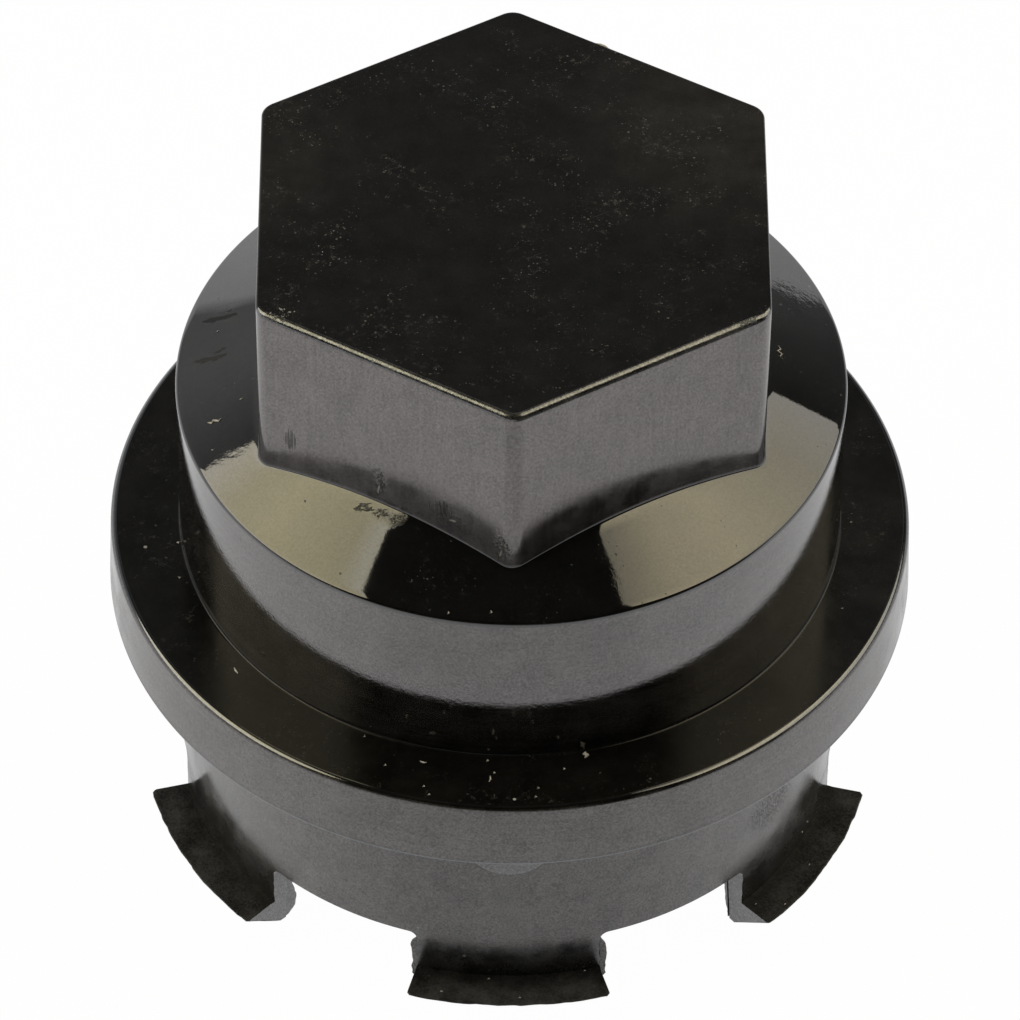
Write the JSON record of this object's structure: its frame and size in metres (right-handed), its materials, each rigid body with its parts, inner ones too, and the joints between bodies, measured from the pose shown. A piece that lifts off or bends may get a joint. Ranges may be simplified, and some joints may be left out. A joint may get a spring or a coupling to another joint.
{
  "type": "wheel nut cover cap",
  "caption": "Black moulded plastic cap with a hexagonal head, round shoulder, flange and snap tabs; it covers a wheel nut and is turned by a spanner.",
  "frame": {"origin": "on the cap's axis, at the level of the tab tips it stands on", "axes": "+Z along the axis towards the hexagonal head, -Y through a hexagon corner and the tab with the gate mark"},
  "size_m": [0.0362, 0.0362, 0.035],
  "materials": {
    "black_plastic": "glossy moulded black with fine scuffs and dust"
  },
  "bodies": {
    "root": {"nut_cover_cap": "black_plastic"}
  },
  "joints": []
}
